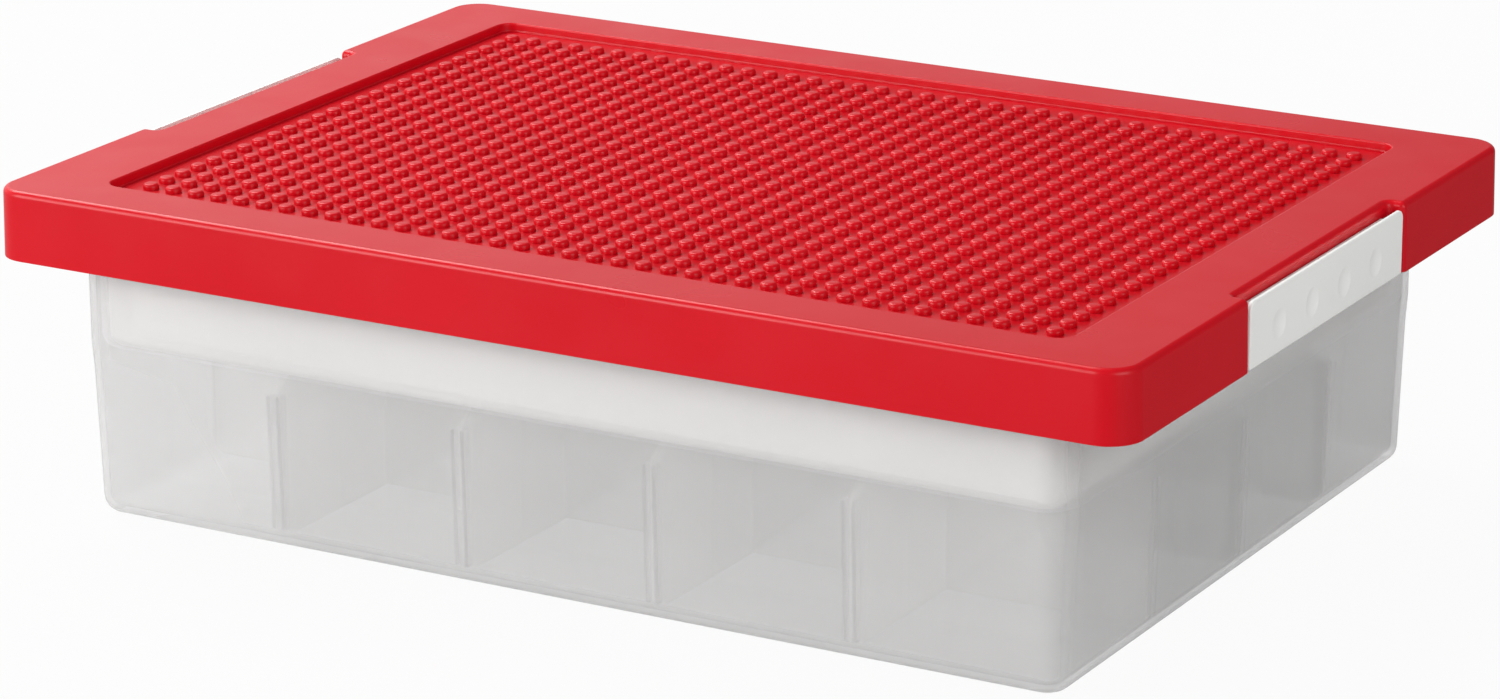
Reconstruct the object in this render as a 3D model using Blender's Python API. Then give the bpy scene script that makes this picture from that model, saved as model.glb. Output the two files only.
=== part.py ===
"""Building block storage box, at its real size, in metres.

A shallow tub with a grid of removable dividers carries a lift-out tray and a lid whose
top is a studded building plate. A latch at each short end hinges on the tub's flange and
hooks over a rib in the lid's notch. +X runs along the box, +Z is up, and the origin is
the middle of the tub's underside.
"""
import bpy
import bmesh
from math import cos, pi, sin, tan
from mathutils import Vector

# Fits
FIT_GAP = 0.0003            # between pieces that rest on each other
RUNNING_GAP = 0.0005        # between pieces that slide or swing past each other
OVERRUN = 0.010             # how far a cutter reaches past what it cuts

# Whole box
BOX_HEIGHT = 0.1000

# Lid: top sheet, skirt and studded recess in one moulding
LID_LENGTH = 0.3680
LID_WIDTH = 0.2606
LID_HEIGHT = 0.0211
LID_CORNER_RADIUS = 0.0100
LID_EDGE_RADIUS = 0.0018
LID_SHEET = 0.0022
SKIRT_WALL = 0.0020
SKIRT_FLARE = 0.0004
RECESS_END_MARGIN = 0.0270
RECESS_SIDE_MARGIN = 0.0193
RECESS_LENGTH = LID_LENGTH - 2 * RECESS_END_MARGIN
RECESS_WIDTH = LID_WIDTH - 2 * RECESS_SIDE_MARGIN
RECESS_DEPTH = 0.0029
RECESS_CORNER_RADIUS = 0.0050
RECESS_FLOOR = 0.0020
LIP_WALL = 0.0018

# Studs on the lid, a standard building plate's pitch
STUD_PITCH = 0.0080
STUD_WIDTH = 0.0049
STUD_HEIGHT = 0.0018
STUD_MARGIN = 0.0060        # least clear floor between the outer studs and the recess edge
STUDS_ALONG = int((RECESS_LENGTH - STUD_WIDTH - 2 * STUD_MARGIN) / STUD_PITCH) + 1
STUDS_ACROSS = int((RECESS_WIDTH - STUD_WIDTH - 2 * STUD_MARGIN) / STUD_PITCH) + 1

# Notch in each short end of the lid, with the rib that the latch holds
NOTCH_WIDTH = 0.1070
NOTCH_DEPTH = 0.0054
NOTCH_WALL = 0.0020
CATCH_INSET = 0.0055
CATCH_WIDTH = NOTCH_WIDTH - 2 * CATCH_INSET
CATCH_REACH = 0.0024
CATCH_HEIGHT = 0.0020
CATCH_DROP = 0.0059
CATCH_SLOPE = 0.35          # radians, so that the hook slides off as the latch swings

# Tub
TUB_END_INSET = 0.0228
TUB_SIDE_INSET = 0.0109
TUB_LENGTH = LID_LENGTH - 2 * TUB_END_INSET
TUB_WIDTH = LID_WIDTH - 2 * TUB_SIDE_INSET
TUB_CORNER_RADIUS = 0.0090
TUB_WALL = 0.0018
TUB_FLOOR = 0.0020
TUB_DRAFT = 0.0014
TUB_BASE_RADIUS = 0.0050
TUB_STEP = 0.0006
TUB_STEP_START = 0.0444
TUB_STEP_HEIGHT = 0.0090
RIM_SHOULDER = 0.0025
RIM_HEIGHT = 0.0051
FLANGE_DROP = 0.0121
FLANGE_SHEET = 0.0020
FLANGE_GAP = 0.0007

# Dividers; an outer compartment takes its allowance more than an inner one
COLUMNS = 5
ROWS = 4
OUTER_COLUMN_ALLOWANCE = 0.0034
OUTER_ROW_ALLOWANCE = 0.0004
COLUMN_PITCH = (TUB_LENGTH - 2 * OUTER_COLUMN_ALLOWANCE) / COLUMNS
ROW_PITCH = (TUB_WIDTH - 2 * OUTER_ROW_ALLOWANCE) / ROWS
DIVIDER_SHEET = 0.0016
DIVIDER_TOP = 0.0512
DIVIDER_CHAMFER_ACROSS = 0.0060
DIVIDER_CHAMFER_DOWN = 0.0045
DIVIDER_SLOT_SHARE = 0.5

# Guides that hold the dividers' ends
GUIDE_WALL = 0.0010
GUIDE_DEPTH = 0.0022
GUIDE_DROP = 0.0050
GUIDE_TOP = DIVIDER_TOP - GUIDE_DROP

# Tray
TRAY_INSET = 0.0042
TRAY_LENGTH = TUB_LENGTH - 2 * TRAY_INSET
TRAY_WIDTH = TUB_WIDTH - 2 * TRAY_INSET
TRAY_CORNER_RADIUS = 0.0070
TRAY_BASE_RADIUS = 0.0035
TRAY_WALL = 0.0016
TRAY_RIM = 0.0015
TRAY_CLEARANCE = 0.0006
TRAY_BOTTOM = DIVIDER_TOP + TRAY_CLEARANCE

# Latches
LATCH_GAP = 0.0008
LATCH_SHEET = 0.0023
LATCH_TOP_DROP = 0.0016
LATCH_CORNER_RADIUS = 0.0026
LATCH_FOOT_RADIUS = 0.0008
HINGE_INSET = 0.0080
HINGE_RISE = 0.0025
BARREL_RADIUS = 0.0022
WEB_SHEET = 0.0016
HOOK_HEIGHT = 0.0018
HOOK_TIP_GAP = 0.0004
PIN_RADIUS = 0.0016
PIN_GAP = 0.0003
EAR_SHEET = 0.0034
EAR_RADIUS = 0.0034
EAR_INSET = 0.0026

# Smoothness of the round shapes
CORNER_STEPS = 6
FILLET_STEPS = 3
ROUND_SIDES = 16

# Heights that follow from the sizes above
SKIRT_BOTTOM = BOX_HEIGHT - LID_HEIGHT
SHEET_UNDERSIDE = BOX_HEIGHT - LID_SHEET
RECESS_TOP = BOX_HEIGHT - RECESS_DEPTH
RECESS_UNDERSIDE = RECESS_TOP - RECESS_FLOOR
RIM_TOP = SHEET_UNDERSIDE - FIT_GAP
SHOULDER_TOP = RIM_TOP - RIM_HEIGHT
FLANGE_BOTTOM = BOX_HEIGHT - FLANGE_DROP - FLANGE_SHEET
FLANGE_TOP = FLANGE_BOTTOM + FLANGE_SHEET
TRAY_RIM_BOTTOM = SHOULDER_TOP + FIT_GAP
TRAY_RIM_TOP = TRAY_RIM_BOTTOM + TRAY_RIM
TUB_FILLET = TUB_BASE_RADIUS - TUB_WALL

# Distances outward from the tub's nominal outline
UPPER_OUTER = TUB_STEP
UPPER_INNER = UPPER_OUTER - TUB_WALL
RIM_OUTER = UPPER_OUTER + RIM_SHOULDER
RIM_INNER = RIM_OUTER - TUB_WALL
LOWER_INNER = -TUB_WALL
BASE_OUTER = -TUB_DRAFT
BASE_INNER = BASE_OUTER - TUB_WALL

# Hinge and notch places at the +X end, mirrored to the -X end
END_FACE = LID_LENGTH / 2
NOTCH_FACE = END_FACE - NOTCH_DEPTH
HINGE_X = END_FACE - HINGE_INSET
HINGE_Z = SKIRT_BOTTOM + HINGE_RISE
LATCH_INNER_FACE = END_FACE - LATCH_SHEET
LATCH_HALF = NOTCH_WIDTH / 2 - LATCH_GAP
EAR_OUTSIDE = LATCH_HALF - EAR_INSET
EAR_INSIDE = EAR_OUTSIDE - EAR_SHEET
BARREL_HALF = EAR_INSIDE - RUNNING_GAP
CATCH_TOP = BOX_HEIGHT - CATCH_DROP


def make_material(name, colour, roughness, alpha=1.0):
    """A moulded plastic, coloured and rough as in the photograph."""
    material = bpy.data.materials.new(name)
    material.use_nodes = True
    shader = material.node_tree.nodes["Principled BSDF"]
    shader.inputs["Base Color"].default_value = (*colour, 1.0)
    shader.inputs["Roughness"].default_value = roughness
    shader.inputs["Metallic"].default_value = 0.0
    shader.inputs["Alpha"].default_value = alpha
    material.diffuse_color = (*colour, alpha)
    return material


def make_object(name, mesh_data, material=None, origin=(0.0, 0.0, 0.0), helper=False):
    """Put a bmesh into the scene with its origin at the given place."""
    bmesh.ops.recalc_face_normals(mesh_data, faces=mesh_data.faces)
    bmesh.ops.translate(mesh_data, vec=-Vector(origin), verts=mesh_data.verts)
    mesh = bpy.data.meshes.new(name)
    mesh_data.to_mesh(mesh)
    mesh_data.free()
    piece = bpy.data.objects.new(name, mesh)
    piece.location = origin
    bpy.context.scene.collection.objects.link(piece)
    if material:
        mesh.materials.append(material)
    if helper:
        piece.hide_render = True
        piece.display_type = "WIRE"
    return piece


def combine(piece, helper, operation):
    """Join a helper solid to a piece, or cut it away."""
    modifier = piece.modifiers.new(helper.name, "BOOLEAN")
    modifier.operation = operation
    modifier.solver = "EXACT"
    modifier.object = helper


def ring(half_x, half_y, radius, z):
    """A rectangle with round corners at height z, anticlockwise from the +X +Y corner."""
    points = []
    for number, (side_x, side_y) in enumerate(((1, 1), (-1, 1), (-1, -1), (1, -1))):
        for step in range(CORNER_STEPS + 1):
            angle = (number + step / CORNER_STEPS) * pi / 2
            x = side_x * (half_x - radius) + radius * cos(angle)
            y = side_y * (half_y - radius) + radius * sin(angle)
            points.append((x, y, z))
    return points


def offset_ring(length, width, radius, outward, z):
    """The round-cornered outline of a length and width, moved outward all the way round."""
    return ring(length / 2 + outward, width / 2 + outward, radius + outward, z)


def add_skin(mesh_data, rings, first_cap=True, last_cap=True):
    """Skin a stack of rings that have the same number of points. Returns the rings' vertices."""
    rows = [[mesh_data.verts.new(point) for point in points] for points in rings]
    for lower, upper in zip(rows, rows[1:]):
        for index in range(len(lower)):
            after = (index + 1) % len(lower)
            mesh_data.faces.new((lower[index], lower[after], upper[after], upper[index]))
    if first_cap:
        mesh_data.faces.new(list(reversed(rows[0])))
    if last_cap:
        mesh_data.faces.new(rows[-1])
    return rows


def add_prism(mesh_data, outline, start, end):
    """Extrude a flat outline from start to end, each a function of an outline point."""
    add_skin(mesh_data, [[start(u, v) for u, v in outline], [end(u, v) for u, v in outline]])


def along_x(mesh_data, outline, from_x, to_x):
    """Extrude a (y, z) outline along X."""
    add_prism(mesh_data, outline, lambda y, z: (from_x, y, z), lambda y, z: (to_x, y, z))


def along_y(mesh_data, outline, from_y, to_y):
    """Extrude an (x, z) outline along Y."""
    add_prism(mesh_data, outline, lambda x, z: (x, from_y, z), lambda x, z: (x, to_y, z))


def add_block(mesh_data, low, high):
    """A rectangular block between two opposite corners."""
    outline = [(low[0], low[2]), (high[0], low[2]), (high[0], high[2]), (low[0], high[2])]
    along_y(mesh_data, outline, low[1], high[1])


def circle(centre_x, centre_z, radius):
    """The (x, z) outline of a round bar along Y."""
    return [(centre_x + radius * cos(2 * pi * step / ROUND_SIDES),
             centre_z + radius * sin(2 * pi * step / ROUND_SIDES)) for step in range(ROUND_SIDES)]


def grid_places(count, pitch):
    """Places of the dividers that part a length into count compartments."""
    return [(index - (count - 2) / 2) * pitch for index in range(count - 1)]


def add_stud_field(mesh_data, border):
    """Fill the recess floor, bounded by border, with a grid of studs that rise from it.

    Each stud is a low four-sided point, so that the whole field stays light. Its foot is
    the round stud's square of equal area.
    """
    foot = STUD_WIDTH / 2 * (pi ** 0.5 / 2)
    floor_z = RECESS_TOP
    corner_signs = ((-1, -1), (1, -1), (1, 1), (-1, 1))
    feet = {}
    for i in range(STUDS_ALONG):
        for j in range(STUDS_ACROSS):
            x = (i - (STUDS_ALONG - 1) / 2) * STUD_PITCH
            y = (j - (STUDS_ACROSS - 1) / 2) * STUD_PITCH
            corners = [mesh_data.verts.new((x + sx * foot, y + sy * foot, floor_z))
                       for sx, sy in corner_signs]
            tip = mesh_data.verts.new((x, y, floor_z + STUD_HEIGHT))
            for index in range(4):
                mesh_data.faces.new((corners[index], corners[(index + 1) % 4], tip))
            feet[i, j] = corners
    last_i = STUDS_ALONG - 1
    last_j = STUDS_ACROSS - 1
    for (i, j), (sw, se, ne, nw) in feet.items():
        if i < last_i:
            mesh_data.faces.new((se, feet[i + 1, j][0], feet[i + 1, j][3], ne))
        if j < last_j:
            mesh_data.faces.new((nw, ne, feet[i, j + 1][1], feet[i, j + 1][0]))
        if i < last_i and j < last_j:
            mesh_data.faces.new((ne, feet[i + 1, j][3], feet[i + 1, j + 1][0], feet[i, j + 1][1]))
    columns = range(STUDS_ALONG)
    rows = range(STUDS_ACROSS)
    sides = (
        [feet[i, last_j][k] for i in reversed(columns) for k in (2, 3)],
        [feet[0, j][k] for j in reversed(rows) for k in (3, 0)],
        [feet[i, 0][k] for i in columns for k in (0, 1)],
        [feet[last_i, j][k] for j in rows for k in (1, 2)],
    )
    corner_count = CORNER_STEPS + 1
    middle = CORNER_STEPS // 2
    for number, side in enumerate(sides):
        start = number * corner_count + middle
        outer = [border[(start + step) % len(border)] for step in range(corner_count + 1)]
        mesh_data.faces.new(outer + list(reversed(side)))


def build_lid(material):
    """Top sheet, rolled edge, skirt, locating lip and studded recess."""
    def outer(inward, z):
        return offset_ring(LID_LENGTH, LID_WIDTH, LID_CORNER_RADIUS, -inward, z)

    def recess(outward, z):
        return offset_ring(RECESS_LENGTH, RECESS_WIDTH, RECESS_CORNER_RADIUS, outward, z)

    def lip(inward, z):
        return offset_ring(TUB_LENGTH, TUB_WIDTH, TUB_CORNER_RADIUS, RIM_INNER - FIT_GAP - inward, z)

    rings = [recess(0.0, RECESS_TOP), recess(0.0, BOX_HEIGHT)]
    for step in range(FILLET_STEPS + 1):
        angle = step / FILLET_STEPS * pi / 2
        inward = LID_EDGE_RADIUS * (1 - sin(angle))
        rings.append(outer(inward, BOX_HEIGHT - LID_EDGE_RADIUS * (1 - cos(angle))))
    rings += [
        outer(-SKIRT_FLARE, SKIRT_BOTTOM),
        outer(SKIRT_WALL - SKIRT_FLARE, SKIRT_BOTTOM),
        outer(SKIRT_WALL, SHEET_UNDERSIDE),
        lip(0.0, SHEET_UNDERSIDE),
        lip(0.0, TRAY_RIM_TOP + FIT_GAP),
        lip(LIP_WALL, TRAY_RIM_TOP + FIT_GAP),
        lip(LIP_WALL, SHEET_UNDERSIDE),
        recess(RECESS_FLOOR, SHEET_UNDERSIDE),
        recess(RECESS_FLOOR, RECESS_UNDERSIDE),
    ]
    shell = bmesh.new()
    rows = add_skin(shell, rings, first_cap=False)
    add_stud_field(shell, rows[0])
    lid = make_object("lid", shell, material, origin=(0.0, 0.0, SKIRT_BOTTOM))

    housings = bmesh.new()
    pockets = bmesh.new()
    catches = bmesh.new()
    half = NOTCH_WIDTH / 2
    wall_bottom = FLANGE_TOP + RUNNING_GAP
    wall_top = SHEET_UNDERSIDE + LID_SHEET / 2
    catch_root = NOTCH_FACE - NOTCH_WALL / 2
    catch_tip = NOTCH_FACE + CATCH_REACH
    for side in (-1, 1):
        add_block(housings,
                  (side * (NOTCH_FACE - NOTCH_WALL), -half - NOTCH_WALL, wall_bottom),
                  (side * (END_FACE - SKIRT_WALL / 2), half + NOTCH_WALL, wall_top))
        add_block(pockets,
                  (side * NOTCH_FACE, -half, SKIRT_BOTTOM - OVERRUN),
                  (side * (END_FACE + OVERRUN), half, BOX_HEIGHT + OVERRUN))
        outline = [(side * catch_root, CATCH_TOP - CATCH_HEIGHT),
                   (side * catch_tip, catch_height(catch_tip) - CATCH_HEIGHT / 2),
                   (side * catch_tip, catch_height(catch_tip)),
                   (side * catch_root, catch_height(catch_root))]
        along_y(catches, outline, -CATCH_WIDTH / 2, CATCH_WIDTH / 2)
    combine(lid, make_object("lid_notch_housings", housings, helper=True), "UNION")
    combine(lid, make_object("lid_notch_pockets", pockets, helper=True), "DIFFERENCE")
    combine(lid, make_object("lid_catch_ribs", catches, helper=True), "UNION")
    return lid


def catch_height(x):
    """Top of the lid's catch rib, which falls away outward."""
    return CATCH_TOP - tan(CATCH_SLOPE) * (x - NOTCH_FACE)


def build_tub(material):
    """Floor, drafted walls with a step, rim shoulder and flange, divider guides, hinge ears."""
    def tub(outward, z):
        return offset_ring(TUB_LENGTH, TUB_WIDTH, TUB_CORNER_RADIUS, outward, z)

    def flange(z):
        return offset_ring(LID_LENGTH, LID_WIDTH, LID_CORNER_RADIUS, -SKIRT_WALL - FLANGE_GAP, z)

    outside = []
    for step in range(FILLET_STEPS + 1):
        angle = step / FILLET_STEPS * pi / 2
        outward = BASE_OUTER - TUB_BASE_RADIUS * (1 - sin(angle))
        outside.append(tub(outward, TUB_BASE_RADIUS * (1 - cos(angle))))
    step_middle = TUB_STEP_START + TUB_STEP_HEIGHT / 2
    step_end = TUB_STEP_START + TUB_STEP_HEIGHT
    outside += [
        tub(0.0, TUB_STEP_START),
        tub(TUB_STEP / 2, step_middle),
        tub(UPPER_OUTER, step_end),
        tub(UPPER_OUTER, FLANGE_BOTTOM),
        flange(FLANGE_BOTTOM),
        flange(FLANGE_TOP),
        tub(RIM_OUTER, FLANGE_TOP),
        tub(RIM_OUTER, RIM_TOP),
    ]
    inside = [
        tub(RIM_INNER, RIM_TOP),
        tub(RIM_INNER, SHOULDER_TOP),
        tub(UPPER_INNER, SHOULDER_TOP),
        tub(UPPER_INNER, step_end),
        tub(LOWER_INNER + TUB_STEP / 2, step_middle),
        tub(LOWER_INNER, TUB_STEP_START),
    ]
    for step in reversed(range(FILLET_STEPS + 1)):
        angle = step / FILLET_STEPS * pi / 2
        outward = BASE_INNER - TUB_FILLET * (1 - sin(angle))
        inside.append(tub(outward, TUB_FLOOR + TUB_FILLET * (1 - cos(angle))))
    shell = bmesh.new()
    add_skin(shell, outside + inside)
    tub_piece = make_object("tub", shell, material)

    guides = bmesh.new()
    reach_x = TUB_LENGTH / 2 + BASE_INNER
    reach_y = TUB_WIDTH / 2 + BASE_INNER
    root = TUB_WALL / 2 + TUB_DRAFT / 2
    near = DIVIDER_SHEET / 2 + FIT_GAP
    for side in (-1, 1):
        for place in grid_places(COLUMNS, COLUMN_PITCH):
            for flank in (-1, 1):
                add_block(guides,
                          (place + flank * near, side * (reach_y - GUIDE_DEPTH), TUB_BASE_RADIUS),
                          (place + flank * (near + GUIDE_WALL), side * (reach_y + root), GUIDE_TOP))
        for place in grid_places(ROWS, ROW_PITCH):
            for flank in (-1, 1):
                add_block(guides,
                          (side * (reach_x - GUIDE_DEPTH), place + flank * near, TUB_BASE_RADIUS),
                          (side * (reach_x + root), place + flank * (near + GUIDE_WALL), GUIDE_TOP))
    combine(tub_piece, make_object("tub_divider_guides", guides, helper=True), "UNION")

    ears = bmesh.new()
    bores = bmesh.new()
    wall_x = TUB_LENGTH / 2 + UPPER_OUTER - TUB_WALL / 2
    for side in (-1, 1):
        outline = [(side * wall_x, FLANGE_BOTTOM + FLANGE_SHEET / 2)]
        outline.append((side * wall_x, HINGE_Z))
        for step in range(ROUND_SIDES // 2 + 1):
            angle = -pi / 2 + step / (ROUND_SIDES // 2) * pi / 2
            outline.append((side * (HINGE_X + EAR_RADIUS * cos(angle)),
                            HINGE_Z + EAR_RADIUS * sin(angle)))
        outline.append((side * (HINGE_X + EAR_RADIUS), FLANGE_BOTTOM + FLANGE_SHEET / 2))
        for end in (-1, 1):
            along_y(ears, outline, end * EAR_INSIDE, end * EAR_OUTSIDE)
        along_y(bores, circle(side * HINGE_X, HINGE_Z, PIN_RADIUS + PIN_GAP), -LATCH_HALF, LATCH_HALF)
    combine(tub_piece, make_object("tub_hinge_ears", ears, helper=True), "UNION")
    combine(tub_piece, make_object("tub_hinge_bores", bores, helper=True), "DIFFERENCE")
    return tub_piece


def build_divider(name, material, half_span, slot_places, slots_open_up, crosswise, place):
    """A plate with clipped corners and the half-depth slots of an egg-crate joint."""
    bottom = TUB_FLOOR + FIT_GAP
    slot_half = DIVIDER_SHEET / 2 + FIT_GAP
    slot_end = bottom + (DIVIDER_TOP - bottom) * DIVIDER_SLOT_SHARE
    slot_end += FIT_GAP / 2 if not slots_open_up else -FIT_GAP / 2
    lower_edge = [(-half_span, bottom + TUB_FILLET), (-half_span + TUB_FILLET, bottom)]
    upper_edge = [(half_span, DIVIDER_TOP - DIVIDER_CHAMFER_DOWN),
                  (half_span - DIVIDER_CHAMFER_ACROSS, DIVIDER_TOP)]
    slots = []
    edge_z = DIVIDER_TOP if slots_open_up else bottom
    for slot in slot_places:
        slots += [(slot - slot_half, edge_z), (slot - slot_half, slot_end),
                  (slot + slot_half, slot_end), (slot + slot_half, edge_z)]
    if slots_open_up:
        upper_edge += list(reversed(slots))
    else:
        lower_edge += slots
    lower_edge += [(half_span - TUB_FILLET, bottom), (half_span, bottom + TUB_FILLET)]
    upper_edge += [(-half_span + DIVIDER_CHAMFER_ACROSS, DIVIDER_TOP),
                   (-half_span, DIVIDER_TOP - DIVIDER_CHAMFER_DOWN)]
    outline = lower_edge + upper_edge
    plate = bmesh.new()
    low = place - DIVIDER_SHEET / 2
    high = place + DIVIDER_SHEET / 2
    if crosswise:
        along_x(plate, outline, low, high)
        origin = (place, 0.0, bottom)
    else:
        along_y(plate, outline, low, high)
        origin = (0.0, place, bottom)
    return make_object(name, plate, material, origin=origin)


def build_dividers(material):
    """Four plates across the tub, and three along it that they drop over."""
    columns = grid_places(COLUMNS, COLUMN_PITCH)
    rows = grid_places(ROWS, ROW_PITCH)
    half_x = TUB_LENGTH / 2 + BASE_INNER - RUNNING_GAP
    half_y = TUB_WIDTH / 2 + BASE_INNER - RUNNING_GAP
    for number, place in enumerate(columns, start=1):
        build_divider(f"cross_divider_{number}", material, half_y, rows, False, True, place)
    for number, place in enumerate(rows, start=1):
        build_divider(f"long_divider_{number}", material, half_x, columns, True, False, place)


def build_tray(material):
    """A plain tray that hangs by its rim on the tub's shoulder."""
    def tray(outward, z):
        return offset_ring(TRAY_LENGTH, TRAY_WIDTH, TRAY_CORNER_RADIUS, outward, z)

    def rim(z):
        return offset_ring(TUB_LENGTH, TUB_WIDTH, TUB_CORNER_RADIUS, RIM_INNER - RUNNING_GAP, z)

    inner_radius = TRAY_BASE_RADIUS - TRAY_WALL
    outside = []
    inside = []
    for step in range(FILLET_STEPS + 1):
        angle = step / FILLET_STEPS * pi / 2
        outside.append(tray(-TRAY_BASE_RADIUS * (1 - sin(angle)),
                            TRAY_BOTTOM + TRAY_BASE_RADIUS * (1 - cos(angle))))
        inside.insert(0, tray(-TRAY_WALL - inner_radius * (1 - sin(angle)),
                              TRAY_BOTTOM + TRAY_WALL + inner_radius * (1 - cos(angle))))
    shell = bmesh.new()
    add_skin(shell, outside + [tray(0.0, TRAY_RIM_BOTTOM), rim(TRAY_RIM_BOTTOM), rim(TRAY_RIM_TOP),
                               tray(-TRAY_WALL, TRAY_RIM_TOP)] + inside)
    return make_object("inner_tray", shell, material, origin=(0.0, 0.0, TRAY_BOTTOM))


def build_latch(name, side, material):
    """A flat latch face with a hinge barrel and pins at its foot and a hook near its top."""
    top = BOX_HEIGHT - LATCH_TOP_DROP
    face = []
    for number, radius in enumerate((LATCH_CORNER_RADIUS, LATCH_CORNER_RADIUS,
                                     LATCH_FOOT_RADIUS, LATCH_FOOT_RADIUS)):
        side_y = 1 if number in (0, 3) else -1
        centre_z = top - radius if number < 2 else SKIRT_BOTTOM + radius
        for step in range(FILLET_STEPS + 1):
            angle = (number + step / FILLET_STEPS) * pi / 2
            face.append((side_y * (LATCH_HALF - radius) + radius * cos(angle),
                         centre_z + radius * sin(angle)))
    plate = bmesh.new()
    along_x(plate, face, side * LATCH_INNER_FACE, side * END_FACE)
    origin = (side * HINGE_X, 0.0, HINGE_Z)
    latch = make_object(name, plate, material, origin=origin)

    tip_x = NOTCH_FACE + HOOK_TIP_GAP
    root_x = LATCH_INNER_FACE + LATCH_SHEET / 2
    tip_low, root_low = [catch_height(x) + FIT_GAP for x in (tip_x, root_x)]
    hook_top = tip_low + HOOK_HEIGHT
    outline = [(tip_x, tip_low), (root_x, root_low), (root_x, hook_top), (tip_x, hook_top)]
    hook = bmesh.new()
    along_y(hook, [(side * x, z) for x, z in outline], -CATCH_WIDTH / 2, CATCH_WIDTH / 2)

    foot = bmesh.new()
    web_low = SKIRT_BOTTOM + LATCH_FOOT_RADIUS / 2
    web_top = web_low + WEB_SHEET
    outline = [(HINGE_X, web_low), (root_x, web_low), (root_x, web_top), (HINGE_X, web_top)]
    along_y(foot, [(side * x, z) for x, z in outline], -BARREL_HALF, BARREL_HALF)

    barrel = bmesh.new()
    barrel_end = BARREL_HALF + FIT_GAP / 2
    along_y(barrel, circle(side * HINGE_X, HINGE_Z, BARREL_RADIUS), -barrel_end, barrel_end)

    pins = bmesh.new()
    along_y(pins, circle(side * HINGE_X, HINGE_Z, PIN_RADIUS), -EAR_OUTSIDE, EAR_OUTSIDE)
    for suffix, helper in (("hook", hook), ("web", foot), ("barrel", barrel), ("pins", pins)):
        combine(latch, make_object(f"{name}_{suffix}", helper, helper=True), "UNION")
    return latch


def build_box():
    """The whole box, closed, with every piece in its place."""
    for leftover in list(bpy.data.objects):
        bpy.data.objects.remove(leftover, do_unlink=True)
    red = make_material("red_plastic", (0.60, 0.012, 0.020), 0.35)
    white = make_material("white_plastic", (0.70, 0.70, 0.69), 0.40)
    frosted = make_material("frosted_plastic", (0.78, 0.77, 0.75), 0.45, alpha=0.35)
    divider = make_material("divider_plastic", (0.80, 0.79, 0.78), 0.45, alpha=0.45)
    milky = make_material("milky_plastic", (0.82, 0.81, 0.79), 0.45, alpha=0.80)
    build_tub(frosted)
    build_dividers(divider)
    build_tray(milky)
    build_lid(red)
    build_latch("latch_left", -1, white)
    build_latch("latch_right", 1, white)


build_box()
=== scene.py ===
"""The looks of the building block storage box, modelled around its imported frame.

Each moulding is a panel extruded through a stack of round-cornered loops, combined with its
small features and rounded along its edges. Sizes are in metres, +X runs along the box and
+Z is up, as in the frame.
"""

from math import copysign, pi, radians, tan

import bmesh
import bpy
from mathutils import Matrix, Vector


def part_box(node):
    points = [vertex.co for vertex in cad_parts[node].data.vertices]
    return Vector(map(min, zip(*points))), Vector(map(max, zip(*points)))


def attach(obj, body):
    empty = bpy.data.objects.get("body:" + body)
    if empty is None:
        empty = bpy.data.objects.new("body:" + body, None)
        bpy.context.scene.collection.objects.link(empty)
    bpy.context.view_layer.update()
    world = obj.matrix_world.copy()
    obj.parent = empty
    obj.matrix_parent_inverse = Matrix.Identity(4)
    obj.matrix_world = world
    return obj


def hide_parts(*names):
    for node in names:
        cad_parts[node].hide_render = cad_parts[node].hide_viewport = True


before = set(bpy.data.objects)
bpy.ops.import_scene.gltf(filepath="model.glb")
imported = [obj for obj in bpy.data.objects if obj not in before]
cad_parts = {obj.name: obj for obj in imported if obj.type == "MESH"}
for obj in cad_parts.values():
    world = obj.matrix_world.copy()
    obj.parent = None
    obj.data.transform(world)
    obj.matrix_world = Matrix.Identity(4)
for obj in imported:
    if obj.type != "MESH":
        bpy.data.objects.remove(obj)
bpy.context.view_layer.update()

# Places read from the frame
LID_LOW, LID_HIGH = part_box("lid")
TRAY_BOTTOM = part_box("inner_tray")[0].z
LATCH_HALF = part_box("latch_right")[1].y
DIVIDER_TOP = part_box("cross_divider_1")[1].z

# Axes
X, Y, Z = range(3)

# Fits
FIT_GAP = 0.0003
RUNNING_GAP = 0.0005
OVERRUN = 0.010

# Lid
LID_CORNER_RADIUS = 0.0100
LID_EDGE_RADIUS = 0.0018
LID_SHEET = 0.0022
SKIRT_WALL = 0.0020
SKIRT_FLARE = 0.0004
RECESS_END_MARGIN = 0.0270
RECESS_SIDE_MARGIN = 0.0193
RECESS_DEPTH = 0.0029
RECESS_CORNER_RADIUS = 0.0050
RECESS_FLOOR = 0.0020
RECESS_EDGE_RADIUS = 0.0006
LIP_WALL = 0.0018
STUD_PITCH = 0.0080
STUD_WIDTH = 0.0049
STUD_HEIGHT = 0.0018
STUD_EDGE = 0.0009
STUD_EDGE_STEPS = 2
STUD_SIDES = 12
STUDS_ALONG = 38
STUDS_ACROSS = 26
NOTCH_WIDTH = 0.1070
NOTCH_DEPTH = 0.0054
NOTCH_WALL = 0.0020
NOTCH_CORNER_RADIUS = 0.0020
CATCH_WIDTH = 0.0960
CATCH_REACH = 0.0024
CATCH_HEIGHT = 0.0020
CATCH_DROP = 0.0059
CATCH_SLOPE = 0.35

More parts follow.
